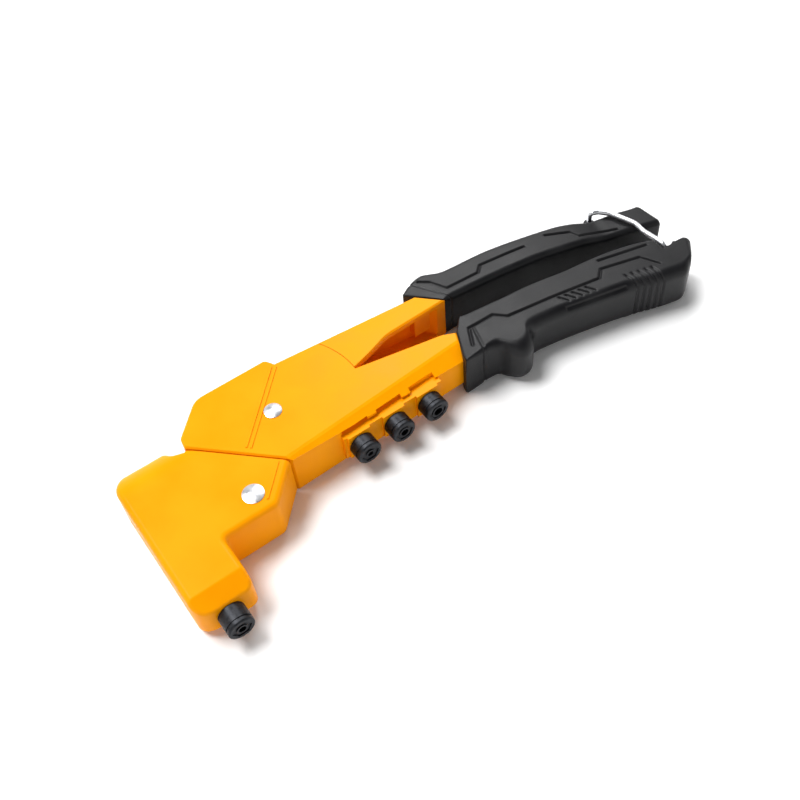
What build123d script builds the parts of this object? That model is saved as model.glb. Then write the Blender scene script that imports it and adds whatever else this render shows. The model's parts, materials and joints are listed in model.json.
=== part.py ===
from build123d import *
import os
from math import asin, cos, degrees, radians, sin, sqrt

os.makedirs("parts", exist_ok=True)

# A hand riveter with a head that turns on a 45 degree plane, lying on its side.
# X runs from the head to the grips, Y from the nozzles to the lever, Z is up.
# The origin is the centre of the footprint, on the surface that the tool lies on.

# ---- driving dimensions, in millimetres and degrees ----
length = 280.0  # back of the head to the ends of the grips
height = 98.0  # tip of the fitted nozzle to the top of the body
thickness = 23.5  # across the side faces of the castings
barrel_width = 24.7  # across the barrel of the head, along X
lever_opening = 30.0  # how far the lever swings from its locked place
stroke = 5.0  # how far the pull rod travels meanwhile
seam_gap = 1.0  # between the head and the body
running_fit = 0.05  # radial gap of a pin or shaft that turns
nozzle_radius = 5.7
nozzle_pitch = 17.6  # between the spare nozzles

# ---- places that follow from them ----
mid = thickness / 2
back = -length / 2
barrel_x = back + barrel_width / 2
barrel_side = back + barrel_width
nozzle_tip = -height / 2
pivot = (-68.75, 22.6)  # the lever turns here
crank_pivot = (-96.3, -7.8)  # the bell crank turns here
swivel = (-91.9, 13.1)  # centre of the seam, on the swivel axis


def polar(centre, radius, angle):
    """The point at a radius and an angle in degrees about a centre."""
    return (centre[0] + radius * cos(radians(angle)), centre[1] + radius * sin(radians(angle)))


def on_swivel(along, aside=0.0):
    """A point on the swivel axis, towards the lever, or beside it, up and to the left."""
    return (swivel[0] + (along - aside) / sqrt(2), swivel[1] + (along + aside) / sqrt(2))


def swivel_plane(along):
    """The plane square to the swivel axis."""
    return Plane(origin=(*on_swivel(along), mid), x_dir=(0, 0, 1), z_dir=(1, 1, 0))


def barrel_plane(y):
    """The plane square to the barrel, facing +Y."""
    return Plane(origin=(barrel_x, y, mid), x_dir=(1, 0, 0), z_dir=(0, 1, 0))


def along_swivel(point):
    """How far along the swivel axis the foot of a point lies."""
    return (point[0] - swivel[0] + point[1] - swivel[1]) / sqrt(2)


def beside_swivel(point):
    """How far a point lies from the swivel axis."""
    return abs(point[1] - swivel[1] - point[0] + swivel[0]) / sqrt(2)


def dome_point(radius, rise):
    """How high a round cap stands halfway between its rim and its axis."""
    sphere = (radius**2 + rise**2) / (2 * rise)
    return rise - sphere + sqrt(sphere**2 - (radius / 2) ** 2)


def side_edges(builder):
    """The straight and gently curved rims of both side faces, without the arc where lever and body part."""
    rims = builder.faces().sort_by(Axis.Z)[-1].edges() + builder.faces().sort_by(Axis.Z)[0].edges()
    return rims.filter_by(lambda e: e.geom_type == GeomType.CIRCLE and e.radius > 20, reverse=True)


def finish(builder, name):
    """Name a finished piece and write it."""
    builder.part.label = name
    export_step(builder.part, f"parts/{name}.step")


# ---- the pull mechanism ----
half_swing = lever_opening / 2
nose_radius = stroke / 2 / sin(radians(half_swing))  # pivot to rod pin
rod_pin_angle = 135.0 - half_swing
rod_pin_centre = polar(pivot, nose_radius, rod_pin_angle)
rod_top = along_swivel(rod_pin_centre)
short_arm = beside_swivel(crank_pivot)
crank_swing = degrees(asin(stroke / 2 / short_arm))  # half of the crank's turn
fork_centre = polar(crank_pivot, short_arm, 135.0 - crank_swing)
rod_bottom = along_swivel(fork_centre)
long_arm_angle = 180.0 - crank_swing
long_arm = (crank_pivot[0] - barrel_x) / cos(radians(crank_swing)) - 0.26
case_fork_centre = polar(crank_pivot, long_arm, long_arm_angle)

rod_radius = 2.6
rod_collar_radius = 5.0
fork_tip_radius = 2.5
collar_thickness = 2.0
flange_radius = 3.9
flange_thickness = 1.2
eye_radius = 3.9
eye_thickness = 5.6
pin_radius = 2.0

# ---- the castings' outlines ----
seam_offset = seam_gap / 2
seam_half = 22.4
body_bottom = -3.0
lip_top = (-106.8, 34.4)
shoulder = (-92.1, 49.0)
body_top_end = (-57.2, 49.0)
lever_line_start = (-54.8, 44.6)
lever_line_end = (16.0, 38.0)
split_radius = 40.0  # the lever parts from the body on this arc
split_low_angle = -3.0
split_high_angle = 30.15
split_gap = 0.3
arm_top = (12.0, 12.1)
arm_corner = (17.7, 9.3)
arm_bottom = (12.0, body_bottom)
seam_top = on_swivel(seam_offset, seam_half)
seam_bottom = (swivel[0] + swivel[1] + seam_offset * sqrt(2) - body_bottom, body_bottom)
split_top = polar(pivot, split_radius, split_high_angle)
split_middle = polar(pivot, split_radius, (split_low_angle + split_high_angle) / 2)
split_bottom = polar(pivot, split_radius, split_low_angle)

slot_half = 5.5  # half the width of the slot between the cheeks
slot_hub = nose_radius + eye_radius + 0.8
tongue_half = slot_half - 0.3
tang_half = 5.0

# the swivel joint
bush_outer = 7.8
bush_inner = 5.6
bush_top = 9.3
bush_bottom = -12.0
nut_top = -9.2
nut_radius = 10.4
washer_radius = 9.6

# ---- cavities that the castings share ----
with BuildPart() as rod_channel:
    with BuildSketch(swivel_plane(bush_top)):
        Circle(rod_collar_radius + 0.6)
    extrude(amount=rod_top + eye_radius + 1.0 - bush_top)

with BuildPart() as bush_seat:
    with BuildSketch(swivel_plane(0)):
        Circle(bush_outer)
    extrude(amount=bush_top)

with BuildPart() as lever_slot:
    with BuildSketch(Plane.XY.offset(mid - slot_half)):
        with Locations(pivot):
            Circle(slot_hub)
        with BuildLine():
            slot_start = polar(pivot, split_radius + 4, split_low_angle - 6)
            slot_end = polar(pivot, split_radius + 4, 64)
            Polyline(slot_end, polar(pivot, slot_hub, 110), pivot, polar(pivot, slot_hub, -40), slot_start)
            ThreePointArc(slot_start, polar(pivot, split_radius + 4, 28), slot_end)
        make_face()
    extrude(amount=2 * slot_half)

# ---- body_casting: cheeks, swivel neck, arm, tang and nozzle rail ----
rail_half = 6.8
rail_bottom = -5.2
boss_bottom = -6.2
boss_length = 11.0
pocket_width = 2.6
pocket_depth = 2.4
stud_radius = 3.9  # radius of a nozzle's thread
stud_length = 4.5
spare_xs = [-45.0 + i * nozzle_pitch for i in range(3)]
pin_shank = 3.4
rib_height = 0.4
rib_width = 0.7
bevel_slope = 0.062
arm_tang = [(6, 8.5), (60, 5.5), (105, -4.5), (105, -10.5), (60, -2.5), (6, 1.0)]

with BuildPart() as body_casting:
    with BuildSketch():
        with BuildLine():
            Polyline(seam_top, lip_top, shoulder, body_top_end, lever_line_start, split_top)
            ThreePointArc(split_top, split_middle, split_bottom)
            Polyline(split_bottom, arm_top, arm_corner, arm_bottom, seam_bottom, seam_top)
        make_face()
    extrude(amount=thickness)
    for corner, radius in ((shoulder, 9.0), (lip_top, 4.0), (body_top_end, 2.5)):
        fillet(body_casting.edges().filter_by(Axis.Z).sort_by_distance((*corner, mid))[0], radius)
    # the long bevel under both side faces grows towards the grip
    for face_z, sign in ((thickness, 1), (0.0, -1)):
        with BuildSketch(Plane(origin=(seam_bottom[0] - 6, body_bottom, face_z),
                               x_dir=(-bevel_slope, 1, 0), z_dir=(1, bevel_slope, 0))):
            Polygon((2.7, sign * 0.6), (-9.0, sign * 0.6), (-9.0, -sign * 6.42), align=None)
        extrude(amount=115, mode=Mode.SUBTRACT)
    chamfer(side_edges(body_casting), 0.7)
    # the tang inside the lower grip
    with BuildSketch(Plane.XY.offset(mid - tang_half)):
        Polygon(*arm_tang, align=None)
    extrude(amount=2 * tang_half)
    # the rail, its bosses and their threaded seats
    with BuildSketch(Plane.XY.offset(mid - rail_half)):
        with Locations((spare_xs[1] + 0.5, (body_bottom + 1 + rail_bottom) / 2)):
            Rectangle(2 * nozzle_pitch + boss_length + 4, body_bottom + 1 - rail_bottom)
        with Locations([(x, (body_bottom + 1 + boss_bottom) / 2) for x in spare_xs]):
            Rectangle(boss_length, body_bottom + 1 - boss_bottom)
    extrude(amount=2 * rail_half)
    # a groove beside the rail, widened to a pocket at each boss
    for side in (1, -1):
        with BuildSketch(Plane.XZ.offset(-body_bottom)):
            with Locations((spare_xs[1] + 0.5, mid + side * (rail_half + 0.45))):
                Rectangle(2 * nozzle_pitch + boss_length + 4, 0.9)
            with Locations([(x, mid + side * (rail_half + pocket_width / 2)) for x in spare_xs]):
                Rectangle(boss_length + 2, pocket_width)
        extrude(amount=-pocket_depth, mode=Mode.SUBTRACT)
    for x in spare_xs:
        with BuildSketch(Plane(origin=(x, boss_bottom, mid), x_dir=(1, 0, 0), z_dir=(0, 1, 0))):
            Circle(stud_radius)
        extrude(amount=stud_length + 1.0, mode=Mode.SUBTRACT)
    # two fine ribs run beside the pivot, square to the seam
    with BuildSketch(Plane.XY.offset(thickness - 0.2)):
        for aside in (-3.25, -5.25):
            with Locations(Location((*on_swivel(25.0, aside), 0), (0, 0, 45))):
                Rectangle(43.0, rib_width)
    extrude(amount=0.2 + rib_height)
    add(lever_slot.part, mode=Mode.SUBTRACT)
    add(rod_channel.part, mode=Mode.SUBTRACT)
    add(bush_seat.part, mode=Mode.SUBTRACT)
    with BuildSketch(Plane.XY.offset(mid)):
        with Locations(pivot):
            Circle(8.2)
    extrude(amount=slot_half + 3.6, mode=Mode.SUBTRACT)
    with BuildSketch():
        with Locations(pivot):
            Circle(pin_shank)
    extrude(amount=thickness, mode=Mode.SUBTRACT)
finish(body_casting, "body_casting")

# ---- lever: outer channel, tongue between the cheeks, clevis nose and tang ----
hub_radius = 6.3
eye_slot_half = eye_thickness / 2 + 0.3
lever_tang = [(10, 37.0), (60, 38.0), (104, 28.5), (104, 22.5), (60, 30.5), (10, 30.5)]
lever_wall = 3.0

with BuildPart() as lever_pocket:
    with BuildSketch(Plane.XY.offset(lever_wall)):
        with BuildLine():
            Polyline((-40, 15), (-40, 38.5), (-22, 37.4), (15.5, 34.0), (24.0, 24.0), (24.0, 15), (-40, 15))
        make_face()
    extrude(amount=thickness - 2 * lever_wall)

with BuildPart() as lever:
    with BuildSketch():
        with BuildLine():
            Polyline((-42, 43.4), lever_line_end, (25.5, 27.9), (-4.0, 27.2))
            Spline((-4.0, 27.2), (-14.0, 25.0), (-28.6, 20.9), tangents=((-1, 0), (-1, -0.25)))
            Polyline((-28.6, 20.9), (-42, 20.9), (-42, 43.4))
        make_face()
        with Locations(pivot):
            Circle(split_radius + split_gap, mode=Mode.SUBTRACT)
    extrude(amount=thickness)
    chamfer(side_edges(lever), 0.7)
    add(lever_pocket.part, mode=Mode.SUBTRACT)
    with BuildSketch(Plane.XY.offset(mid - tongue_half)):
        with Locations(pivot):
            Circle(hub_radius)
        Polygon((pivot[0], pivot[1] + 6.2), (-37, 40.0), (-20, 38.0), (-20, 24.0), (-28.9, 21.7),
                (pivot[0], pivot[1] - 6.2), align=None)
    extrude(amount=2 * tongue_half)
    with BuildSketch(Plane.XY.offset(mid - tongue_half)):
        with Locations(polar(pivot, 4.0, rod_pin_angle), rod_pin_centre):
            Circle(3.6)
        make_hull()
    extrude(amount=2 * tongue_half)
    with BuildSketch(Plane.XY.offset(mid - tang_half)):
        Polygon(*lever_tang, align=None)
    extrude(amount=2 * tang_half)
    # the clevis slot, the pivot bore and the bore of the rod pin
    with BuildSketch(Plane.XY.offset(mid - eye_slot_half)):
        with Locations(polar(pivot, nose_radius + 3.0, rod_pin_angle)):
            Circle(nose_radius + 3.0 - 5.3)
    extrude(amount=2 * eye_slot_half, mode=Mode.SUBTRACT)
    with BuildSketch():
        with Locations(pivot):
            Circle(pin_shank + running_fit)
        with Locations(rod_pin_centre):
            Circle(pin_radius)
    extrude(amount=thickness, mode=Mode.SUBTRACT)
finish(lever, "lever")

# ---- pivot_pin and crank_pin: rivets with low domed heads ----
pin_rim = 0.3
pin_rise = 0.8
for name, centre, pin_head in (("pivot_pin", pivot, 3.9), ("crank_pin", crank_pivot, 4.6)):
    with BuildPart() as pin:
        with BuildSketch(Plane(origin=(*centre, thickness), x_dir=(1, 0, 0), z_dir=(0, -1, 0))):
            with BuildLine():
                Polyline((0, pin_rim + pin_rise), (0, 0.3 - thickness), (pin_shank, 0.3 - thickness),
                         (pin_shank, 0), (pin_head, 0), (pin_head, pin_rim))
                ThreePointArc((pin_head, pin_rim),
                              (pin_head / 2, pin_rim + dome_point(pin_head, pin_rise)),
                              (0, pin_rim + pin_rise))
            make_face()
        revolve(axis=Axis((*centre, 0), (0, 0, 1)))
    finish(pin, name)

# ---- rod_pin: joins the clevis to the rod's eye ----
with BuildPart() as rod_pin:
    with BuildSketch(Plane.XY.offset(mid - tongue_half)):
        with Locations(rod_pin_centre):
            Circle(pin_radius)
    extrude(amount=2 * tongue_half)
    chamfer(rod_pin.edges(), 0.3)
finish(rod_pin, "rod_pin")

# ---- opening_spring: torsion coil round the pivot pin, in the upper cheek ----
coil_wire = 0.55
with BuildPart() as opening_spring:
    with BuildLine() as coil_path:
        Helix(pitch=1.25, height=2.0, radius=5.6, center=(*pivot, mid + slot_half + 0.8))
    with BuildSketch(Plane(origin=coil_path.line @ 0, z_dir=coil_path.line % 0)):
        Circle(coil_wire)
    sweep(is_frenet=True)
finish(opening_spring, "opening_spring")

# ---- pull_rod: eye at the lever, shaft, and a grooved button at the crank ----
with BuildPart() as pull_rod:
    with BuildSketch(swivel_plane(rod_bottom - fork_tip_radius - 0.3 - flange_thickness)):
        Circle(rod_radius)
    extrude(amount=rod_top - rod_bottom + 1.6)
    with BuildSketch(swivel_plane(rod_bottom - fork_tip_radius - 0.3 - flange_thickness)):
        Circle(flange_radius)
    extrude(amount=flange_thickness)
    with BuildSketch(swivel_plane(rod_bottom + fork_tip_radius + 0.3)):
        Circle(rod_collar_radius)
    extrude(amount=collar_thickness)
    chamfer(pull_rod.edges().filter_by(GeomType.CIRCLE).filter_by(lambda e: e.radius > 3), 0.3)
    with BuildSketch(Plane.XY.offset(mid - eye_thickness / 2)):
        with Locations(on_swivel(rod_top)):
            Circle(eye_radius)
    extrude(amount=eye_thickness)
    # the eye's slot lets the pin follow its arc
    with BuildSketch(Plane.XY.offset(mid - eye_thickness / 2)):
        with Locations(Location((*on_swivel(rod_top, -0.1), 0), (0, 0, -45))):
            SlotOverall(2 * pin_radius + 1.2, 2 * pin_radius + 0.14)
    extrude(amount=eye_thickness, mode=Mode.SUBTRACT)
finish(pull_rod, "pull_rod")

# ---- swivel_bush, retaining_nut and seam_washer ----
with BuildPart() as swivel_bush:
    with BuildSketch(swivel_plane(bush_bottom)):
        Circle(bush_outer)
        Circle(bush_inner, mode=Mode.SUBTRACT)
    extrude(amount=bush_top - bush_bottom)
    chamfer(swivel_bush.edges().sort_by(Axis((0, 0, 0), (1, 1, 0)))[:2], 0.4)
finish(swivel_bush, "swivel_bush")

with BuildPart() as retaining_nut:
    with BuildSketch(swivel_plane(bush_bottom)):
        RegularPolygon(nut_radius, 6, major_radius=True)
        Circle(bush_outer, mode=Mode.SUBTRACT)
    extrude(amount=nut_top - bush_bottom - 0.1)
finish(retaining_nut, "retaining_nut")

with BuildPart() as seam_washer:
    with BuildSketch(swivel_plane(seam_offset - 0.8)):
        Circle(washer_radius)
        Circle(bush_outer + running_fit, mode=Mode.SUBTRACT)
    extrude(amount=0.8)
finish(seam_washer, "seam_washer")

# ---- crank: hub, a short fork round the rod and a long fork round the jaw case ----
crank_half = 6.8
crank_hub = 6.0
crank_arm = 4.4
crank_neck = 3.6
short_fork_gap = rod_radius + 0.3
case_neck = 4.6
long_fork_gap = case_neck + 0.3
long_tip_radius = 3.7

with BuildPart() as crank:
    with BuildSketch(Plane.XY.offset(mid - crank_half)):
        with Locations(crank_pivot):
            Circle(crank_hub)
        with Locations(case_fork_centre):
            Circle(long_tip_radius)
        with Locations(fork_centre):
            Circle(fork_tip_radius)
        with Locations(Location((*crank_pivot, 0), (0, 0, long_arm_angle))):
            Rectangle(long_arm, crank_arm, align=(Align.MIN, Align.CENTER))
        with Locations(Location((*crank_pivot, 0), (0, 0, 135.0 - crank_swing))):
            Rectangle(short_arm, crank_neck, align=(Align.MIN, Align.CENTER))
    extrude(amount=2 * crank_half)
    with BuildSketch(Plane.XY.offset(mid - short_fork_gap)):
        with Locations(polar(crank_pivot, short_arm, 135.0 - crank_swing)):
            Circle(short_arm - crank_hub + 0.2)
    extrude(amount=2 * short_fork_gap, mode=Mode.SUBTRACT)
    with BuildSketch(Plane.XY.offset(mid - long_fork_gap)):
        with Locations(case_fork_centre):
            Circle(9.4)
    extrude(amount=2 * long_fork_gap, mode=Mode.SUBTRACT)
    with BuildSketch():
        with Locations(crank_pivot):
            Circle(pin_shank + running_fit)
    extrude(amount=thickness, mode=Mode.SUBTRACT)
finish(crank, "crank")

# ---- head_casting: web with the swivel neck, barrel, crank slot and bore ----
bore_radius = 7.5
bore_front = -35.8
bore_rear = 27.0
barrel_end = -40.0
head_top = 36.8
web_bottom = -17.6
crank_slot_half = crank_half + 0.3
seat_radius = 5.5
outlet_x = -119.0
outlet_radius = 4.0
outlet_hole = 3.1
outlet_flange = 4.6
sleeve_depth = 8.0
outlet_plane = Plane(origin=(outlet_x, head_top, mid), x_dir=(0, 0, 1), z_dir=(0, 1, 0))
head_rim = 2.6  # rounding along both side faces
# seen along X, Y and half the thickness of the head where it falls away to its domed end
head_fall = [(19.0, mid), (29.0, mid - 1.05), (34.0, mid - 3.85), (head_top, 0.0)]
head_seam_top = on_swivel(-seam_offset, seam_half)
head_seam_bottom = on_swivel(-seam_offset, -seam_half)
middle_tip = polar(crank_pivot, long_arm, 180.0)
open_tip = polar(crank_pivot, long_arm, 180.0 + crank_swing)
open_fork = polar(crank_pivot, short_arm, 135.0 + crank_swing)

with BuildPart() as crank_space:
    with BuildSketch(Plane.XY.offset(mid - crank_slot_half)):
        with Locations(crank_pivot):
            Circle(crank_hub + 0.4)
        with Locations(case_fork_centre, middle_tip, open_tip):
            Circle(long_tip_radius + 0.3)
        make_hull()
    extrude(amount=2 * crank_slot_half)
    with BuildSketch(Plane.XY.offset(mid - crank_slot_half)):
        with Locations(crank_pivot):
            Circle(crank_hub + 0.4)
        with Locations(fork_centre, open_fork):
            Circle(fork_tip_radius + 0.5)
        make_hull()
    extrude(amount=2 * crank_slot_half)

with BuildPart() as neck_space:
    with BuildSketch(swivel_plane(0.5)):
        Circle(bush_outer + running_fit)
    extrude(amount=nut_top - 0.5)
    with BuildSketch(swivel_plane(nut_top)):
        Circle(nut_radius + 0.4)
    extrude(amount=bush_bottom - nut_top - 0.6)
    with BuildSketch(swivel_plane(nut_top)):
        Circle(rod_collar_radius + 0.5)
    extrude(amount=rod_bottom - stroke - fork_tip_radius - collar_thickness - 1.2 - nut_top)

with BuildPart() as barrel_space:
    with BuildSketch(barrel_plane(bore_front)):
        Circle(bore_radius)
    extrude(amount=bore_rear - bore_front)
    with BuildSketch(barrel_plane(barrel_end)):
        Circle(seat_radius)
    extrude(amount=bore_front - barrel_end)

with BuildPart() as outlet_space:
    with BuildSketch(outlet_plane.offset(-sleeve_depth)):
        Circle(outlet_radius)
    extrude(amount=sleeve_depth + 3)
    with BuildSketch(outlet_plane.offset(-0.6)):
        Circle(outlet_flange)
    extrude(amount=5)
    with BuildSketch(outlet_plane.offset(bore_rear - head_top - 0.5)):
        Circle(outlet_hole + 0.3)
    extrude(amount=head_top - bore_rear)

with BuildPart() as head_casting:
    with BuildSketch():
        Polygon(head_seam_top, head_seam_bottom, (-90.9, web_bottom), (barrel_side, web_bottom),
                (barrel_side, barrel_end), (back, barrel_end), (back, head_top + 1), (-115.0, head_top + 1),
                (-113.0, 30.6), align=None)
    extrude(amount=thickness)
    for corner, radius in (((back, head_top + 1), 12.0), ((-115.0, head_top + 1), 4.0), ((-113.0, 30.6), 3.0),
                           ((back, barrel_end), 6.5), ((barrel_side, barrel_end), 4.0),
                           ((barrel_side, web_bottom), 2.0), ((-90.9, web_bottom), 4.0)):
        fillet(head_casting.edges().filter_by(Axis.Z).sort_by_distance((*corner, mid))[0], radius)
    # seen along X the head ends in a dome
    with BuildSketch(Plane.YZ.offset(back - 1)):
        with BuildLine():
            for sign in (1, -1):
                Line((barrel_end - 1, mid + sign * mid), (head_fall[0][0], mid + sign * mid))
                Spline([(y, mid + sign * half) for y, half in head_fall], tangents=((1, 0), (0, -sign)))
            Line((barrel_end - 1, 0), (barrel_end - 1, thickness))
        make_face()
    extrude(amount=length / 2, mode=Mode.INTERSECT)
    rims = head_casting.edges().filter_by(Axis.Z, reverse=True).filter_by(
        lambda e: along_swivel((e.center().X, e.center().Y)) < -2 * seam_offset
        and abs(e.center().Z - mid) > 0.05
        and not (e.length > 15 and abs(e.center().Y - head_fall[0][0]) < 0.1))
    fillet(rims, head_rim)
    # both side faces are bevelled at the nozzle
    for face_z, sign in ((thickness, 1), (0.0, -1)):
        with BuildSketch(Plane.YZ.offset(back - 1)):
            Polygon((-32.8, face_z), (-42, face_z - sign * 6.6), (-42, face_z + sign), align=None)
        extrude(amount=barrel_width + 6, mode=Mode.SUBTRACT)
    fillet(head_casting.edges().filter_by(lambda e: e.bounding_box().size.Z < 9 and e.center().Y < -33), 2.0)
    with BuildSketch(Plane.XY.offset(thickness - 0.2)):
        with Locations(Location((*on_swivel(-10.5, 4.4 - seam_half), 0), (0, 0, 45))):
            Rectangle(18.0, rib_width)
    extrude(amount=0.2 + rib_height)
    for space in (crank_space, neck_space, barrel_space, outlet_space):
        add(space.part, mode=Mode.SUBTRACT)
    with BuildSketch():
        with Locations(crank_pivot):
            Circle(pin_shank)
    extrude(amount=thickness, mode=Mode.SUBTRACT)
finish(head_casting, "head_casting")

# ---- jaw_case: grooved for the crank, with a cone at the front for the jaws ----
case_radius = bore_radius - 0.08
case_front = -21.5
case_rear = 7.5
cone_end = -9.5
cone_small = 2.9
cone_large = 5.3
case_bore = 3.0
groove_centre = case_fork_centre[1]
groove_half = long_tip_radius + 0.3
barrel_axis = Axis((barrel_x, 0, mid), (0, 1, 0))

with BuildPart() as jaw_case:
    with BuildSketch(Plane.XY.offset(mid)):
        with Locations((barrel_x, 0)):
            Polygon((cone_small, case_front), (case_radius, case_front),
                    (case_radius, groove_centre - groove_half), (case_neck, groove_centre - groove_half),
                    (case_neck, groove_centre + groove_half), (case_radius, groove_centre + groove_half),
                    (case_radius, case_rear), (case_bore, case_rear), (case_bore, cone_end),
                    (cone_large, cone_end), align=None)
    revolve(axis=barrel_axis)
    chamfer(jaw_case.faces().sort_by(Axis.Y)[0].edges().sort_by(SortBy.RADIUS)[-1], 0.6)
finish(jaw_case, "jaw_case")

# ---- jaws: three segments of a cone that grip the mandrel ----
jaw_front = case_front + 0.3
jaw_rear = -11.5
jaw_slope = (cone_large - cone_small) / (cone_end - case_front)
jaw_play = 0.05
jaw_hole = 1.2

with BuildPart() as jaws:
    with BuildSketch(Plane.XY.offset(mid)):
        with Locations((barrel_x, 0)):
            Polygon((jaw_hole, jaw_front), (cone_small + jaw_slope * 0.3 - jaw_play, jaw_front),
                    (cone_small + jaw_slope * (jaw_rear - case_front) - jaw_play, jaw_rear),
                    (jaw_hole, jaw_rear), align=None)
    revolve(axis=barrel_axis)
    with BuildSketch(barrel_plane(jaw_front - 1)):
        with PolarLocations(0, 3):
            Rectangle(9, 0.5, align=(Align.MIN, Align.CENTER))
    extrude(amount=jaw_rear - jaw_front + 2, mode=Mode.SUBTRACT)
finish(jaws, "jaws")

# ---- jaw_pusher and jaw_spring: keep the jaws pressed into their cone ----
pusher_outer = case_bore - 0.1
pusher_inner = 1.9
pusher_flange = 6.9
pusher_rear = case_rear + 1.3
spring_radius = 5.7
spring_wire = 0.6
spring_turns = 7

with BuildPart() as jaw_pusher:
    with BuildSketch(Plane.XY.offset(mid)):
        with Locations((barrel_x, 0)):
            Polygon((pusher_inner, jaw_rear + 0.1), (pusher_outer, jaw_rear + 0.1),
                    (pusher_outer, case_rear + 0.05), (pusher_flange, case_rear + 0.05),
                    (pusher_flange, pusher_rear), (4.0, pusher_rear), (4.0, pusher_rear + 3),
                    (pusher_inner, pusher_rear + 3), align=None)
    revolve(axis=barrel_axis)
finish(jaw_pusher, "jaw_pusher")

spring_front = pusher_rear + spring_wire + 0.1
spring_length = bore_rear - spring_wire - 0.4 - spring_front
with BuildPart() as jaw_spring:
    with BuildLine() as spring_path:
        Helix(pitch=spring_length / spring_turns, height=spring_length, radius=spring_radius,
              center=(barrel_x, spring_front, mid), direction=(0, 1, 0))
    with BuildSketch(Plane(origin=spring_path.line @ 0, z_dir=spring_path.line % 0)):
        Circle(spring_wire)
    sweep(is_frenet=True)
finish(jaw_spring, "jaw_spring")

# ---- outlet_sleeve: lets the broken mandrels out at the top ----
with BuildPart() as outlet_sleeve:
    with BuildSketch(outlet_plane.offset(-sleeve_depth)):
        Circle(outlet_radius)
    extrude(amount=sleeve_depth)
    with BuildSketch(outlet_plane.offset(-0.6)):
        Circle(outlet_flange)
    extrude(amount=1.0)
    chamfer(outlet_sleeve.faces().sort_by(Axis.Y)[-1].edges(), 0.3)
    with BuildSketch(outlet_plane.offset(-sleeve_depth)):
        Circle(outlet_hole)
    extrude(amount=sleeve_depth + 2, mode=Mode.SUBTRACT)
finish(outlet_sleeve, "outlet_sleeve")

# ---- nozzle_seat: threaded ring that closes the front of the barrel ----
with BuildPart() as nozzle_seat:
    with BuildSketch(barrel_plane(barrel_end)):
        Circle(seat_radius)
        Circle(stud_radius, mode=Mode.SUBTRACT)
    extrude(amount=bore_front - barrel_end)
finish(nozzle_seat, "nozzle_seat")

# ---- nozzles: one fitted and three spare, each bored for its own rivets ----
tip_round = 0.8
neck_groove = 0.35
drive_width = 7.2


def make_nozzle(name, x, seat_y, outer_length, bore):
    """A nozzle that points along -Y, with its thread above the seat."""
    with BuildPart() as nozzle:
        with BuildSketch(Plane(origin=(x, seat_y, mid), x_dir=(1, 0, 0), z_dir=(0, -1, 0))):
            Circle(nozzle_radius)
        extrude(amount=outer_length)
        fillet(nozzle.faces().sort_by(Axis.Y)[0].edges(), tip_round)
        chamfer(nozzle.faces().sort_by(Axis.Y)[-1].edges(), 0.4)
        with BuildSketch(Plane(origin=(x, seat_y, mid), x_dir=(1, 0, 0), z_dir=(0, 1, 0))):
            Circle(stud_radius)
        extrude(amount=stud_length)
        with BuildSketch(Plane(origin=(x, seat_y - outer_length, mid), x_dir=(1, 0, 0), z_dir=(0, 1, 0))):
            RegularPolygon(drive_width / 2, 6, major_radius=False)
            Circle(bore + 0.8, mode=Mode.SUBTRACT)
        extrude(amount=0.5, mode=Mode.SUBTRACT)
        # a shallow ring turned round the nozzle near its tip
        ring_y = seat_y + 1.9 - outer_length
        with BuildSketch(Plane(origin=(x, ring_y, mid), x_dir=(1, 0, 0), z_dir=(0, 1, 0))):
            Circle(nozzle_radius + 1)
            Circle(nozzle_radius - neck_groove, mode=Mode.SUBTRACT)
        extrude(amount=0.5, mode=Mode.SUBTRACT)
        with BuildSketch(Plane(origin=(x, seat_y - outer_length, mid), x_dir=(1, 0, 0), z_dir=(0, 1, 0))):
            Circle(bore)
        extrude(amount=outer_length + stud_length, mode=Mode.SUBTRACT)
    finish(nozzle, name)


make_nozzle("fitted_nozzle", barrel_x, barrel_end, barrel_end - nozzle_tip, 1.6)
for size, x, bore in zip(("small", "medium", "large"), spare_xs, (1.3, 1.85, 2.1)):
    make_nozzle(f"spare_nozzle_{size}", x, boss_bottom, 7.3, bore)

# ---- wire_bail: one wire from the hinge in the upper grip to the hooks in the lower one ----
wire = 1.25
bail_half = 10.3
bail_hinge = (114.8, 29.9)
hook = (126.4, -8.0)
hook_end = 6.5
bail_leg = [bail_hinge, (118.4, 28.1), (122.2, 23.5), (126.4, 11.3), (125.5, 4.7), (126.4, -2.9), hook]
leg_bends = [1.6, 2.5, 5.0, 9.0, 12.0, 12.0, 1.6]

with BuildPart() as wire_bail:
    with BuildLine() as bail_path:
        leg_up = [(*point, mid + bail_half) for point in bail_leg]
        leg_down = [(*point, mid - bail_half) for point in bail_leg]
        FilletPolyline((*hook, mid + hook_end), *reversed(leg_up), *leg_down, (*hook, mid - hook_end),
                       radius=[*reversed(leg_bends), *leg_bends])
    with BuildSketch(Plane(origin=bail_path.line @ 0, z_dir=bail_path.line % 0)):
        Circle(wire)
    sweep()
finish(wire_bail, "wire_bail")

# ---- grips: moulded over the tangs ----
lip_y = lever_line_end[1] + (12.0 - lever_line_end[0]) * (
    (lever_line_start[1] - lever_line_end[1]) / (lever_line_start[0] - lever_line_end[0]))
bail_waist = 8.6  # half thickness of the upper grip between the bail's legs
lug_half = 4.4
notch_half = 11.8

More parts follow.
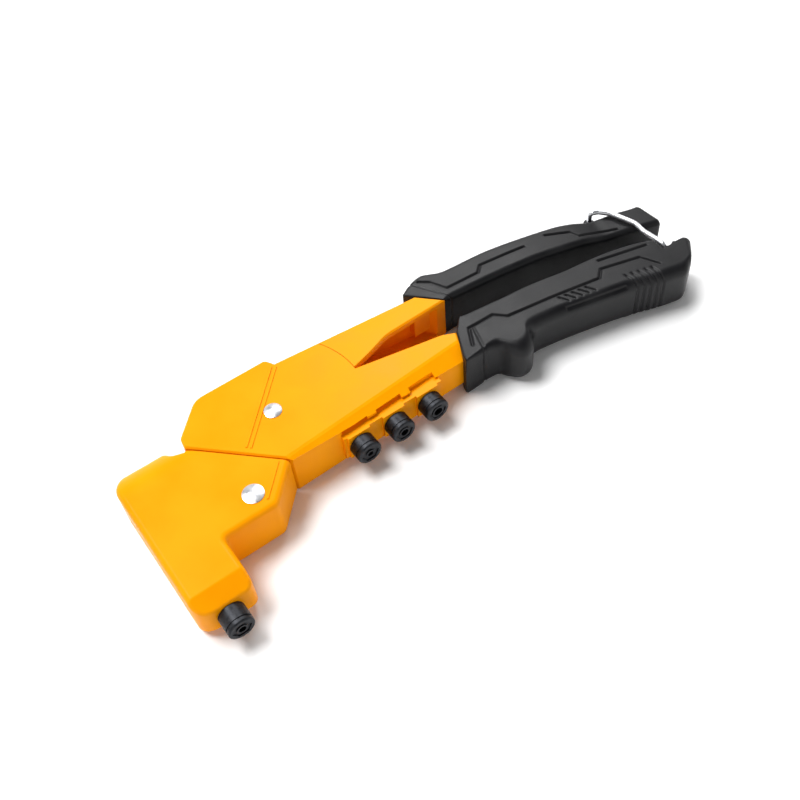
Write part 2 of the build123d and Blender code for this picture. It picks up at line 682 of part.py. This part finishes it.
with BuildPart() as upper_grip:
    with BuildSketch():
        with BuildLine():
            Polyline((25.5, 27.9), lever_line_end, (12.0, lip_y), (12.0, 42.4))
            Spline((12.0, 42.4), (17.5, 45.9), (26.0, 48.4), (32.5, 44.8), (40.0, 43.6), (56.0, 42.6),
                   (77.6, 38.8), (94.0, 35.0), (112.0, 28.0))
            Polyline((112.0, 28.0), (117.5, 26.6), (125.0, 25.0), (133.6, 22.1), (138.4, 21.2))
            ThreePointArc((138.4, 21.2), (139.7, 14.0), (139.6, 5.2))
            Spline((139.6, 5.2), (127.0, 8.9), (88.0, 19.5), (67.0, 23.2), (46.2, 26.0), (36.0, 26.9),
                   (25.5, 27.9))
        make_face()
    extrude(amount=thickness)
    chamfer(upper_grip.faces().filter_by(Axis.Z).edges().filter_by(lambda e: e.center().X > 30), 1.6)
    # narrower towards the end, and again between the bail's legs
    for side in (1, -1):
        with BuildSketch(Plane.XZ):
            Polygon((70, mid + side * (mid + 0.5)), (104, mid + side * 10.3), (111, mid + side * bail_waist),
                    (145, mid + side * bail_waist), (145, mid + side * (mid + 1)), align=None)
        extrude(amount=-60, mode=Mode.SUBTRACT)
    with BuildSketch(Plane.XY.offset(mid - lug_half)):
        with Locations(bail_hinge):
            Circle(2.7)
            with Locations((0.5, -3.6)):
                Rectangle(6.4, 4.0)
    extrude(amount=2 * lug_half)
    with BuildSketch():
        with Locations(bail_hinge):
            Circle(wire + running_fit)
    extrude(amount=thickness, mode=Mode.SUBTRACT)
    for side in (1, -1):
        with BuildSketch(Plane.XY.offset(mid + side * lug_half)):
            with Locations(bail_hinge):
                Circle(wire + 0.5)
        extrude(amount=side * notch_half, mode=Mode.SUBTRACT)
    with BuildSketch(Plane.XY.offset(mid - tang_half)):
        Polygon(*lever_tang, align=None)
    extrude(amount=2 * tang_half, mode=Mode.SUBTRACT)
finish(upper_grip, "upper_grip")

hook_swings = (0.0, 6.0, 13.0)
hook_reach = sqrt((hook[0] - bail_hinge[0]) ** 2 + (hook[1] - bail_hinge[1]) ** 2)
hook_angle = -degrees(asin((bail_hinge[1] - hook[1]) / hook_reach))

with BuildPart() as lower_grip:
    with BuildSketch():
        with BuildLine():
            Polyline((8.5, -4.4), (8.5, body_bottom), arm_bottom, arm_corner, (24.4, 16.0))
            Spline((24.4, 16.0), (32.0, 15.0), (47.0, 13.1), (57.6, 12.2), (78.5, 8.4), (99.4, 5.5),
                   (119.4, -0.2), (128.9, -5.2), (133.6, -7.8), (140.0, -11.6))
            Polyline((140.0, -11.6), (130.0, -22.0), (122.0, -26.5))
            Spline((122.0, -26.5), (111.3, -23.8), (97.0, -19.0), (82.3, -15.2), (61.4, -10.5), (47.0, -8.6),
                   (41.5, -15.2), (34.8, -17.1), (31.0, -12.4), (27.2, -6.7))
            Polyline((27.2, -6.7), (12.0, -6.5), (8.5, -4.4))
        make_face()
    extrude(amount=thickness)
    chamfer(lower_grip.faces().filter_by(Axis.Z).edges().filter_by(lambda e: e.center().X > 26), 2.0)
    for side in (1, -1):
        with BuildSketch(Plane.XY.offset(mid + side * (bail_waist + 0.1))):
            Polygon((123.6, 4.0), (123.6, -6.5), (126.4, -10.2), (145.0, -10.2), (145.0, 4.0), align=None)
        extrude(amount=side * 5, mode=Mode.SUBTRACT)
        with BuildSketch(Plane.XY.offset(mid + side * (hook_end - 0.4))):
            with Locations([polar(bail_hinge, hook_reach, hook_angle + swing) for swing in hook_swings]):
                Circle(wire + 0.35)
            make_hull()
        extrude(amount=side * 3, mode=Mode.SUBTRACT)
    with BuildSketch(Plane.XY.offset(mid - tang_half)):
        Polygon(*arm_tang, align=None)
    extrude(amount=2 * tang_half, mode=Mode.SUBTRACT)
finish(lower_grip, "lower_grip")
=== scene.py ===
import json
import math

import bmesh
import bpy
import numpy as np
from mathutils import Matrix, Vector


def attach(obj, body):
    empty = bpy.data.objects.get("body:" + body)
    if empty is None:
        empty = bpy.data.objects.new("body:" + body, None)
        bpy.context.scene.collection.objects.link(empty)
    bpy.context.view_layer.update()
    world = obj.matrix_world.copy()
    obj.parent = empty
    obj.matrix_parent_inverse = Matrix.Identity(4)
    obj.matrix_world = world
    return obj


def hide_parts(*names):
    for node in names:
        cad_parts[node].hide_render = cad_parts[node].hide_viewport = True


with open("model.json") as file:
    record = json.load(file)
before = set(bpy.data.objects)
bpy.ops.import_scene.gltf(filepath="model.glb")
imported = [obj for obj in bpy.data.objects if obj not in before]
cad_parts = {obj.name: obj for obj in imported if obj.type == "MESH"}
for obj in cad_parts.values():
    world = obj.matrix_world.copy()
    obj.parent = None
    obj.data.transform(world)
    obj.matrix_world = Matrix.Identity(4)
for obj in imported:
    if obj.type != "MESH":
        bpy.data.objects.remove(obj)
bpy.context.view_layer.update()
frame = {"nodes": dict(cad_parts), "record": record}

nodes = frame["nodes"]
MM = 0.001
MID = 11.75  # half the thickness of the castings, in millimetres

# ---- camera, at the photograph's viewing angle, with the tool lying on its side ----
camera_data = bpy.data.cameras.new("camera")
camera_data.lens = 45.0
camera_data.sensor_width = 36.0
camera_data.clip_start = 0.01
camera = bpy.data.objects.new("camera", camera_data)
bpy.context.scene.collection.objects.link(camera)
right = Vector((0.810, -0.582, -0.065)).normalized()
forward = Vector((0.315, 0.526, -0.790)).normalized()
up = right.cross(forward).normalized()
right = forward.cross(up).normalized()
turn = Matrix((right, up, -forward)).transposed().to_4x4()
camera.matrix_world = Matrix.Translation((-0.1552, -0.2256, 0.3533)) @ turn
bpy.context.scene.camera = camera
bpy.context.scene.view_settings.view_transform = "Standard"

# ---- floor and light ----
floor_mesh = bpy.data.meshes.new("floor")
floor_mesh.from_pydata([(-3, -3, 0), (3, -3, 0), (3, 3, 0), (-3, 3, 0)], [], [(0, 1, 2, 3)])
floor = bpy.data.objects.new("floor", floor_mesh)
bpy.context.scene.collection.objects.link(floor)

world = bpy.data.worlds.new("world")
world.use_nodes = True
bpy.context.scene.world = world
world_shader = world.node_tree.nodes["Background"]
world_shader.inputs["Color"].default_value = (1.0, 1.0, 1.0, 1.0)
# a studio that is bright round the horizon and darker overhead
world_place = world.node_tree.nodes.new("ShaderNodeTexCoord")
world_split = world.node_tree.nodes.new("ShaderNodeSeparateXYZ")
world_fade = world.node_tree.nodes.new("ShaderNodeMapRange")
world_fade.inputs["From Min"].default_value = 0.30
world_fade.inputs["From Max"].default_value = 0.65
world_fade.inputs["To Min"].default_value = 1.0
world_fade.inputs["To Max"].default_value = 0.15
world.node_tree.links.new(world_place.outputs["Generated"], world_split.inputs["Vector"])
world.node_tree.links.new(world_split.outputs["Z"], world_fade.inputs["Value"])
world.node_tree.links.new(world_fade.outputs["Result"], world_shader.inputs["Strength"])


def area_light(name, place, target, size, power):
    """A soft square light that looks at a target."""
    data = bpy.data.lights.new(name, "AREA")
    data.size = size
    data.energy = power
    light = bpy.data.objects.new(name, data)
    bpy.context.scene.collection.objects.link(light)
    light.location = place
    light.rotation_euler = (Vector(target) - Vector(place)).to_track_quat("-Z", "Y").to_euler()


key_data = bpy.data.lights.new("key", "SUN")
key_data.energy = 3.1
key_data.angle = 0.5
key = bpy.data.objects.new("key", key_data)
bpy.context.scene.collection.objects.link(key)
key.rotation_euler = Vector((-0.25, 0.35, 0.9)).to_track_quat("Z", "Y").to_euler()
area_light("sheen", (0.40, 0.55, 0.75), (0.06, 0, 0), 0.35, 4.5)
# ---- material helpers ----
def new_material(name, color, roughness, metallic=0.0, specular=0.5):
    """A Principled material, its shader and the object coordinates that its textures use."""
    material = bpy.data.materials.new(name)
    material.use_nodes = True
    shader = material.node_tree.nodes["Principled BSDF"]
    shader.inputs["Base Color"].default_value = (*color, 1.0)
    shader.inputs["Roughness"].default_value = roughness
    shader.inputs["Metallic"].default_value = metallic
    shader.inputs["Specular IOR Level"].default_value = specular
    coordinates = material.node_tree.nodes.new("ShaderNodeTexCoord")
    return material, shader, coordinates.outputs["Object"]


def noise(material, vector, scale, detail=3.0, roughness=0.5, stretch=(1.0, 1.0, 1.0)):
    """The factor of a noise texture, stretched along the axes where asked."""
    tree = material.node_tree
    mapping = tree.nodes.new("ShaderNodeMapping")
    mapping.inputs["Scale"].default_value = stretch
    tree.links.new(vector, mapping.inputs["Vector"])
    texture = tree.nodes.new("ShaderNodeTexNoise")
    texture.inputs["Scale"].default_value = scale
    texture.inputs["Detail"].default_value = detail
    texture.inputs["Roughness"].default_value = roughness
    tree.links.new(mapping.outputs["Vector"], texture.inputs["Vector"])
    return texture.outputs["Fac"]


def remap(material, value, from_low, from_high, low, high):
    """A value moved from one range to another, clamped."""
    node = material.node_tree.nodes.new("ShaderNodeMapRange")
    node.inputs["From Min"].default_value = from_low
    node.inputs["From Max"].default_value = from_high
    node.inputs["To Min"].default_value = low
    node.inputs["To Max"].default_value = high
    material.node_tree.links.new(value, node.inputs["Value"])
    return node.outputs["Result"]


def mix_color(material, factor, first, second):
    """Two colours mixed by a factor."""
    node = material.node_tree.nodes.new("ShaderNodeMix")
    node.data_type = "RGBA"
    for socket, value in ((node.inputs[6], first), (node.inputs[7], second)):
        if isinstance(value, tuple):
            socket.default_value = (*value, 1.0)
        else:
            material.node_tree.links.new(value, socket)
    material.node_tree.links.new(factor, node.inputs[0])
    return node.outputs[2]


def bump(material, shader, height, strength, distance):
    """Bump on the shader, on top of any that it has."""
    node = material.node_tree.nodes.new("ShaderNodeBump")
    node.inputs["Strength"].default_value = strength
    node.inputs["Distance"].default_value = distance
    material.node_tree.links.new(height, node.inputs["Height"])
    if shader.inputs["Normal"].links:
        material.node_tree.links.new(shader.inputs["Normal"].links[0].from_socket, node.inputs["Normal"])
    material.node_tree.links.new(node.outputs["Normal"], shader.inputs["Normal"])


# ---- yellow powder coat: orange peel, faint handling marks ----
def make_paint():
    material, shader, place = new_material("yellow_paint", (0.93, 0.325, 0.0), 0.33, 0.0, 0.06)
    patches = noise(material, place, 45.0, 4.0)
    tint = remap(material, patches, 0.35, 0.65, 0.0, 1.0)
    color = mix_color(material, tint, (0.91, 0.310, 0.0), (0.95, 0.338, 0.0))
    marks = noise(material, place, 260.0, 6.0, 0.7, (1.0, 3.0, 1.0))
    worn = remap(material, marks, 0.66, 0.78, 0.0, 0.35)
    color = mix_color(material, worn, color, (0.82, 0.225, 0.001))
    material.node_tree.links.new(color, shader.inputs["Base Color"])
    gloss = remap(material, patches, 0.3, 0.7, 0.27, 0.40)
    material.node_tree.links.new(gloss, shader.inputs["Roughness"])
    bump(material, shader, noise(material, place, 1500.0, 2.0), 0.06, 0.0003)
    bump(material, shader, marks, 0.03, 0.0003)
    return material


# ---- metals: a grain that varies colour, gloss and height ----
def make_metal(name, dark, light, rough_low, rough_high, scale, stretch, strength):
    material, shader, place = new_material(name, light, rough_low, 1.0)
    grain = noise(material, place, scale, 5.0, 0.6, stretch)
    color = mix_color(material, remap(material, grain, 0.35, 0.65, 0.0, 1.0), dark, light)
    material.node_tree.links.new(color, shader.inputs["Base Color"])
    gloss = remap(material, grain, 0.3, 0.7, rough_low, rough_high)
    material.node_tree.links.new(gloss, shader.inputs["Roughness"])
    bump(material, shader, grain, strength, 0.0002)
    return material


# ---- grip plastic: fine spark-eroded texture ----
def make_grip():
    material, shader, place = new_material("black_grip", (0.008, 0.008, 0.009), 0.4, 0.0, 0.24)
    patches = noise(material, place, 60.0, 4.0)
    tint = remap(material, patches, 0.35, 0.65, 0.0, 1.0)
    color = mix_color(material, tint, (0.004, 0.004, 0.005), (0.010, 0.010, 0.011))
    material.node_tree.links.new(color, shader.inputs["Base Color"])
    gloss = remap(material, patches, 0.3, 0.7, 0.34, 0.46)
    material.node_tree.links.new(gloss, shader.inputs["Roughness"])
    bump(material, shader, noise(material, place, 2600.0, 3.0, 0.6), 0.25, 0.0003)
    return material


paint = make_paint()
grip = make_grip()
blackened = make_metal("blackened_steel", (0.020, 0.021, 0.024), (0.045, 0.047, 0.052), 0.38, 0.55,
                       600.0, (1, 1, 1), 0.15)
plated = make_metal("plated_steel", (0.62, 0.63, 0.66), (0.82, 0.83, 0.85), 0.26, 0.36,
                    400.0, (1, 1, 1), 0.04)
machined = make_metal("machined_steel", (0.30, 0.30, 0.32), (0.46, 0.46, 0.48), 0.30, 0.45,
                      300.0, (1, 6, 1), 0.08)
by_slot = {"yellow_paint": paint, "black_grip": grip, "blackened_steel": blackened,
           "plated_steel": plated, "machined_steel": machined}
for part in frame["record"]["subparts"]:
    for slot in nodes[part["node"]].material_slots:
        slot.material = by_slot[part["material_slot"]]

floor_material, floor_shader, floor_place = new_material("floor", (0.94, 0.94, 0.94), 0.6)
floor_grain = noise(floor_material, floor_place, 30.0)
floor_gloss = remap(floor_material, floor_grain, 0.3, 0.7, 0.55, 0.65)
floor_material.node_tree.links.new(floor_gloss, floor_shader.inputs["Roughness"])
floor_mesh.materials.append(floor_material)


# ---- moulded grips: lofted along their length, with grooves and ribs cut in ----
def smooth_through(rows, count):
    """Rows on a smooth curve through given rows, evenly spaced along the grip."""
    rows = np.array(rows, float)
    padded = np.vstack([2 * rows[0] - rows[1], rows, 2 * rows[-1] - rows[-2]])
    places = np.linspace(0, len(rows) - 1, 40 * len(rows))
    first = np.minimum(places.astype(int), len(rows) - 2)
    t = (places - first)[:, None]
    before, start, end, after = (padded[first + i] for i in range(4))
    fine = (start + 0.5 * t * (end - before + t * (2 * before - 5 * start + 4 * end - after
                                                   + t * (3 * (start - end) + after - before))))
    middles = (fine[:, 0:2] + fine[:, 2:4]) / 2
    walked = np.concatenate([[0], np.cumsum(np.linalg.norm(np.diff(middles, axis=0), axis=1))])
    even = np.linspace(0, walked[-1], count)
    return np.stack([np.interp(even, walked, column) for column in fine.T], axis=1), even


def half_section(half_height, half_width, top_round, bottom_round):
    """Half the outline of a rounded bar, from the middle of its top to the middle of its bottom."""
    across = np.linspace(0, 1, 9)[:-1]
    top_turn = np.radians(np.linspace(90, 0, 9)[:-1])
    bottom_turn = np.radians(np.linspace(0, -90, 13)[:-1])
    down = np.linspace(half_height - top_round, bottom_round - half_height, 65)[:-1]
    heights = np.concatenate([np.full(8, half_height), half_height - top_round + top_round * np.sin(top_turn),
                              down, bottom_round - half_height + bottom_round * np.sin(bottom_turn),
                              np.full(9, -half_height)])
    widths = np.concatenate([across * (half_width - top_round),
                             half_width - top_round + top_round * np.cos(top_turn),
                             np.full(64, half_width),
                             half_width - bottom_round + bottom_round * np.cos(bottom_turn),
                             (half_width - bottom_round) * np.linspace(1, 0, 9)])
    return heights, widths


def distance_to(line, x, y):
    """How far points lie from a broken line."""
    nearest = np.full(x.shape, 1e9)
    for (x0, y0), (x1, y1) in zip(line[:-1], line[1:]):
        along = ((x - x0) * (x1 - x0) + (y - y0) * (y1 - y0)) / ((x1 - x0) ** 2 + (y1 - y0) ** 2)
        along = np.clip(along, 0, 1)
        nearest = np.minimum(nearest, np.hypot(x - x0 - along * (x1 - x0), y - y0 - along * (y1 - y0)))
    return nearest


def groove(distance, half_width, depth):
    """The depth of a smooth groove at a distance from its middle."""
    t = np.clip(1 - np.abs(distance) / half_width, 0, 1)
    return depth * t * t * (3 - 2 * t)


def loft_grip(name, stations, count, front_bend, end_round, cuts, half_limit):
    """A grip lofted through stations of top x, y, bottom x, y, half width, top and bottom rounding."""
    rows, walked = smooth_through(stations, count)
    points = []
    shares = []
    for row, place in zip(rows, walked):
        left = min(walked[-1] - place, end_round)
        inset = end_round - math.sqrt(end_round**2 - (end_round - left) ** 2)
        inset = max(inset, 0.6 - min(place, 0.6))
        top = row[0:2]
        bottom = row[2:4]
        half = np.linalg.norm(top - bottom) / 2
        heights, widths = half_section(half - inset, row[4] - inset, row[5], row[6])
        share = np.concatenate([heights, heights[-2:0:-1]]) / (2 * half) + 0.5
        widths = np.concatenate([widths, -widths[-2:0:-1]])
        plane = bottom + share[:, None] * (top - bottom)
        bend = np.array([np.interp(share, *column) for column in front_bend]).T
        plane = plane + bend * max(0.0, 1 - place / 9.0)
        points.append(np.column_stack([plane, widths]))
        shares.append(share)
    points = np.array(points)
    shares = np.array(shares)
    ring = points.shape[1]
    along = np.gradient(points, axis=0)
    around = (np.roll(points, -1, axis=1) - np.roll(points, 1, axis=1)) / 2
    normals = np.cross(around, along)
    normals /= np.maximum(np.linalg.norm(normals, axis=2, keepdims=True), 1e-9)
    outward = np.sign(np.sum(normals[:, :, 2] * points[:, :, 2]))
    depth = cuts(points[:, :, 0], points[:, :, 1], walked[:, None], shares, np.abs(normals[:, :, 2]))
    ends = np.minimum(walked, walked[-1] - walked)[:, None]
    points = points - (outward * depth * np.clip(ends / 1.5, 0, 1))[:, :, None] * normals
    limit = half_limit(points[:, :, 0], points[:, :, 1])
    points[:, :, 2] = np.clip(points[:, :, 2], -limit, limit)
    faces = []
    for i in range(count - 1):
        for j in range(ring):
            k = (j + 1) % ring
            faces.append((i * ring + j, i * ring + k, (i + 1) * ring + k, (i + 1) * ring + j))
    half_ring = ring // 2
    for start in (0, (count - 1) * ring):
        bottom_middle = start + half_ring
        cap = [(start, start + 1, start + ring - 1), (bottom_middle - 1, bottom_middle, bottom_middle + 1)]
        for j in range(1, half_ring - 1):
            cap.append((start + j, start + j + 1, start + ring - j - 1, start + ring - j))
        faces += cap
    mesh = bpy.data.meshes.new(name)
    mesh.from_pydata([(x * MM, y * MM, (MID + z) * MM) for x, y, z in points.reshape(-1, 3)], [], faces)
    builder = bmesh.new()
    builder.from_mesh(mesh)
    bmesh.ops.recalc_face_normals(builder, faces=builder.faces)
    builder.to_mesh(mesh)
    builder.free()
    sides = ring * (count - 1)
    mesh.polygons.foreach_set("use_smooth", [True] * sides + [False] * (len(mesh.polygons) - sides))
    mesh.materials.append(grip)
    piece = bpy.data.objects.new(name, mesh)
    bpy.context.scene.collection.objects.link(piece)
    return piece


STRAIGHT = (([0, 1], [0, 0]), ([0, 1], [0, 0]))
BAIL_HINGE = (114.8, 29.9)
LINE_HALF = 0.95  # half the width of the engraved lines
LINE_DEPTH = 0.9

# a station is: top x, y, bottom x, y, half width, top rounding, bottom rounding
upper_stations = [
    (12.0, 42.3, 25.4, 28.0, 11.7, 1.0, 1.0), (17.5, 45.7, 28.5, 27.6, 11.7, 2.0, 2.5),
    (22.0, 47.5, 31.0, 27.4, 11.7, 2.5, 3.0), (26.0, 48.2, 33.5, 27.2, 11.7, 3.0, 3.0),
    (30.0, 46.4, 36.0, 26.9, 11.7, 3.0, 3.0), (34.0, 44.6, 39.0, 26.7, 11.7, 3.0, 3.0),
    (40.0, 43.7, 44.0, 26.2, 11.7, 3.0, 3.0), (56.0, 42.5, 58.0, 24.7, 11.7, 3.0, 3.0),
    (66.5, 40.8, 67.0, 23.3, 11.7, 3.0, 3.0), (77.6, 38.7, 76.5, 22.0, 11.4, 3.0, 3.0),
    (94.0, 34.8, 92.0, 18.6, 10.8, 2.6, 3.0), (103.0, 31.6, 101.0, 16.3, 10.2, 2.4, 3.0),
    (112.0, 27.9, 110.0, 13.9, 8.5, 2.0, 2.6), (118.0, 26.4, 117.0, 11.9, 8.5, 2.0, 2.6),
    (125.0, 24.8, 124.5, 9.9, 8.5, 1.8, 2.6), (132.5, 22.4, 132.5, 7.5, 8.5, 1.8, 2.6),
    (138.3, 21.1, 139.4, 5.4, 8.5, 1.8, 2.4)]
# the engraved lines' points are measured ones, not worked out from the grip's dimensions
upper_lines = [
    [(22.7, 44.4), (26.9, 40.9), (30.7, 33.0), (47.7, 31.8), (51.4, 35.0), (75.0, 31.7)],
    [(87.8, 31.6), (98.6, 26.2), (100.6, 21.5), (110.8, 18.8), (118.7, 15.0)]]


def upper_cuts(x, y, walked, share, sideways):
    """The upper grip's lines on both sides, and the line behind its collar."""
    depth = groove(walked - 5.5, 0.8, 0.4)
    for line in upper_lines:
        depth = np.maximum(depth, groove(distance_to(line, x, y), LINE_HALF, LINE_DEPTH) * (sideways > 0.3))
    return depth


upper = loft_grip("upper_grip_moulding", upper_stations, 400, STRAIGHT, 2.2, upper_cuts,
                  lambda x, y: np.full(x.shape, 20.0))
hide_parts("upper_grip")
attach(upper, "lever")

lower_stations = [
    (24.4, 15.9, 11.0, -6.5, 11.7, 0.8, 0.8), (27.2, 15.6, 18.0, -6.7, 11.7, 1.5, 1.8),
    (29.8, 15.3, 24.5, -6.8, 11.7, 1.6, 3.0), (31.6, 15.1, 28.8, -8.6, 11.7, 1.6, 4.5),
    (33.4, 14.9, 31.4, -13.2, 11.7, 1.6, 6.0), (35.4, 14.6, 34.6, -16.6, 11.7, 1.6, 6.5),
    (38.0, 14.3, 38.4, -16.9, 11.7, 1.6, 6.5), (40.6, 14.0, 42.0, -14.8, 11.7, 1.6, 6.0),
    (43.6, 13.6, 45.0, -10.6, 11.7, 1.6, 5.5), (47.5, 13.1, 49.5, -8.9, 11.7, 1.6, 5.0),
    (57.6, 12.1, 61.0, -10.4, 11.7, 1.6, 5.0), (67.5, 10.5, 71.5, -12.7, 11.7, 1.6, 5.0),
    (78.5, 8.3, 82.0, -15.1, 11.7, 1.6, 5.0), (89.0, 7.0, 91.0, -17.3, 11.7, 1.6, 5.0),
    (99.4, 5.4, 100.0, -19.8, 11.7, 1.6, 5.0), (110.0, 2.8, 109.0, -22.9, 11.7, 1.6, 5.0),
    (119.4, -0.3, 116.5, -25.0, 11.7, 1.8, 5.0), (128.9, -5.3, 122.5, -26.2, 11.7, 2.0, 5.0),
    (134.5, -8.6, 126.5, -24.6, 11.7, 2.2, 4.5), (139.7, -11.7, 130.5, -21.9, 11.7, 2.4, 3.2)]
# the front follows the corner of the casting's arm instead of a straight line
bend_shares = [0.0, 0.16, 0.65, 1.0]
lower_front = ((bend_shares, [0.0, -1.2, -2.0, 0.0]), (bend_shares, [0.0, 0.0, 1.2, 0.0]))
# measured points again, as on the upper grip
lower_lines = [
    [(18.7, -1.3), (23.4, 7.5), (29.4, 7.3), (36.6, 7.1), (41.2, 2.3), (63.6, -1.2), (88.0, -5.9),
     (92.3, -2.0), (111.1, -7.5), (115.3, -16.0)],
    [(65.5, -9.8), (94.3, -16.7)],
    [(95.1, 2.7), (119.0, -3.6)]]
bar_count = 5
rib_count = 5
rib_pitch = 3.4
hook_reach = 39.64  # from the bail's hinge to its hooks
hook_angles = [-72.98 + swing for swing in (0.0, 6.0, 13.0)]


def lower_cuts(x, y, walked, share, sideways):
    """The lower grip's lines and bars on both sides, its collar line and the finger ribs underneath."""
    depth = groove(walked - 7.2, 0.8, 0.45) * np.clip((0.62 - share) / 0.03, 0, 1)
    for line in lower_lines:
        depth = np.maximum(depth, groove(distance_to(line, x, y), LINE_HALF, LINE_DEPTH) * (sideways > 0.2))
    for i in range(bar_count):
        shift = i / (bar_count - 1)  # from the first bar, 0, to the last, 1
        bar = [(66.0 + 13.5 * shift, -3.4 - 2.8 * shift), (68.0 + 13.5 * shift, -7.2 - 2.6 * shift)]
        depth = np.maximum(depth, groove(distance_to(bar, x, y), LINE_HALF, LINE_DEPTH) * (sideways > 0.2))
    for i in range(rib_count):
        middle = 84.0 + rib_pitch * i
        curved = walked - middle - 3.0 * np.clip(0.3 - share, 0, 0.3)
        depth = np.maximum(depth, groove(curved, 1.2, 0.7) * np.clip((0.34 - share) / 0.06, 0, 1))
    return depth


def bail_room(x, y):
    """How thick half the lower grip may be: it makes way for the bail's legs and hooks."""
    limit = np.where((x > 123.6) & (y > -10.2), 8.6, 20.0)
    arc = [(BAIL_HINGE[0] + hook_reach * math.cos(math.radians(angle)),
            BAIL_HINGE[1] + hook_reach * math.sin(math.radians(angle))) for angle in hook_angles]
    return np.where(distance_to(arc, x, y) < 1.7, 6.1, limit)


lower = loft_grip("lower_grip_moulding", lower_stations, 420, lower_front, 3.0, lower_cuts, bail_room)
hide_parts("lower_grip")
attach(lower, "frame")


# ---- the lug that holds the bail's hinge on the upper grip ----
lug_half = 4.4
lug_radius = 2.7
lug_outline = [(BAIL_HINGE[0] + lug_radius * math.cos(math.radians(angle)),
                BAIL_HINGE[1] + lug_radius * math.sin(math.radians(angle))) for angle in range(165, 14, -15)]
lug_outline += [(118.2, 27.5), (118.5, 24.8), (111.0, 24.8), (110.9, 26.6)]
builder = bmesh.new()
low = builder.faces.new([builder.verts.new((x * MM, y * MM, (MID - lug_half) * MM)) for x, y in lug_outline])
raised = bmesh.ops.extrude_face_region(builder, geom=[low])
bmesh.ops.translate(builder, vec=(0, 0, 2 * lug_half * MM),
                    verts=[item for item in raised["geom"] if isinstance(item, bmesh.types.BMVert)])
bmesh.ops.recalc_face_normals(builder, faces=builder.faces)
rims = [edge for edge in builder.edges if abs(edge.verts[0].co.z - edge.verts[1].co.z) < 1e-7]
bmesh.ops.bevel(builder, geom=rims, offset=0.5 * MM, segments=3, affect="EDGES", profile=0.5)
lug_mesh = bpy.data.meshes.new("bail_lug")
builder.to_mesh(lug_mesh)
builder.free()
lug_mesh.materials.append(grip)
lug = bpy.data.objects.new("bail_lug", lug_mesh)
bpy.context.scene.collection.objects.link(lug)
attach(lug, "lever")
